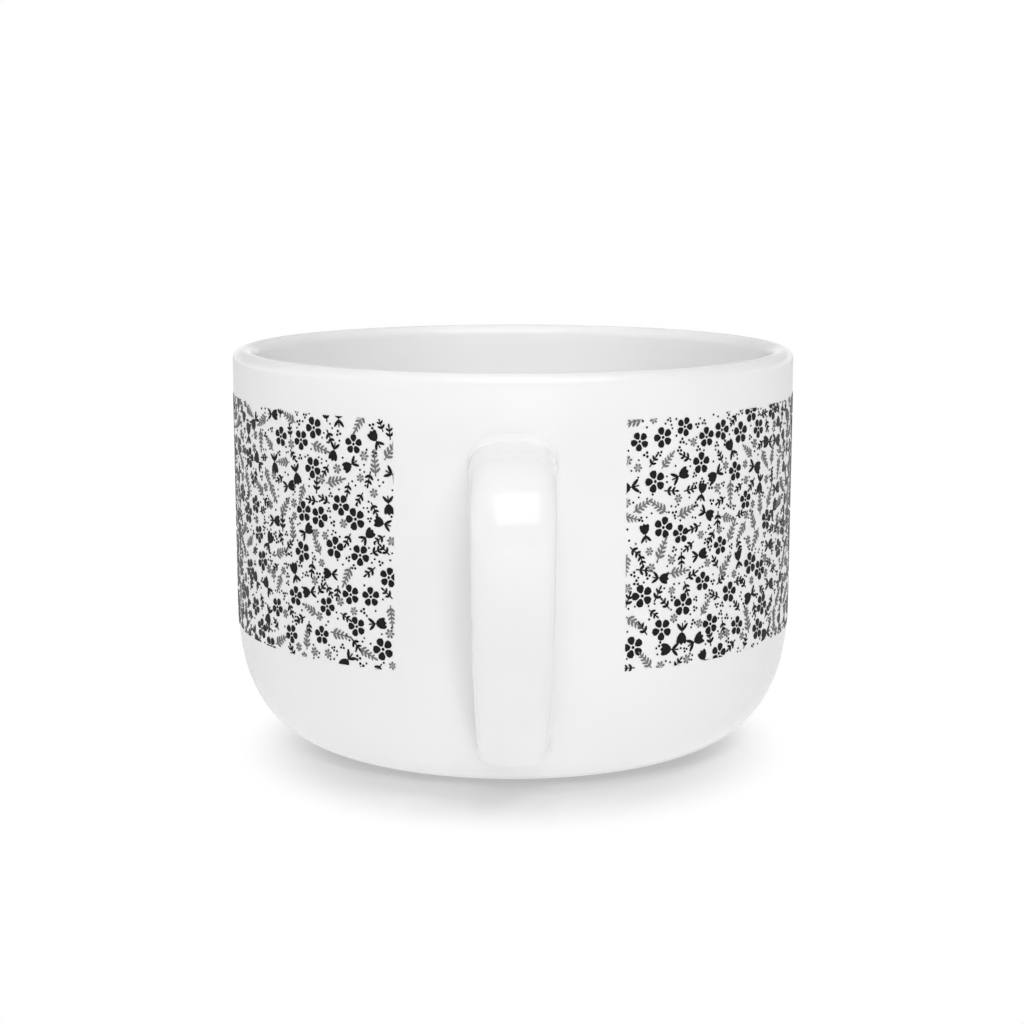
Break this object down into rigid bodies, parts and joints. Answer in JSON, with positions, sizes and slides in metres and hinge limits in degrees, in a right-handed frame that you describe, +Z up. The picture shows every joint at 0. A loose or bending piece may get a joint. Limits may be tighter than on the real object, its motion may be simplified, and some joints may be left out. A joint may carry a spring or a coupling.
{
  "type": "latte mug",
  "caption": "Wide white glazed latte mug with a full rounded belly, a strap handle luted on with slip joints, and a black and grey printed wrap that stops short of the handle.",
  "frame": {"origin": "on the cup's axis, on the plane that the foot ring stands on", "axes": "+Z up along the cup's axis, -Y towards the handle, +X to the right of someone who faces the handle"},
  "size_m": [0.1106, 0.1413, 0.078],
  "materials": {
    "white_glaze": "glossy white glaze over stoneware",
    "print": "black and grey print, glossy"
  },
  "bodies": {
    "root": {"cup_body": "white_glaze", "strap_handle": "white_glaze", "upper_slip_joint": "white_glaze", "lower_slip_joint": "white_glaze", "printed_wrap": "print"}
  },
  "joints": []
}
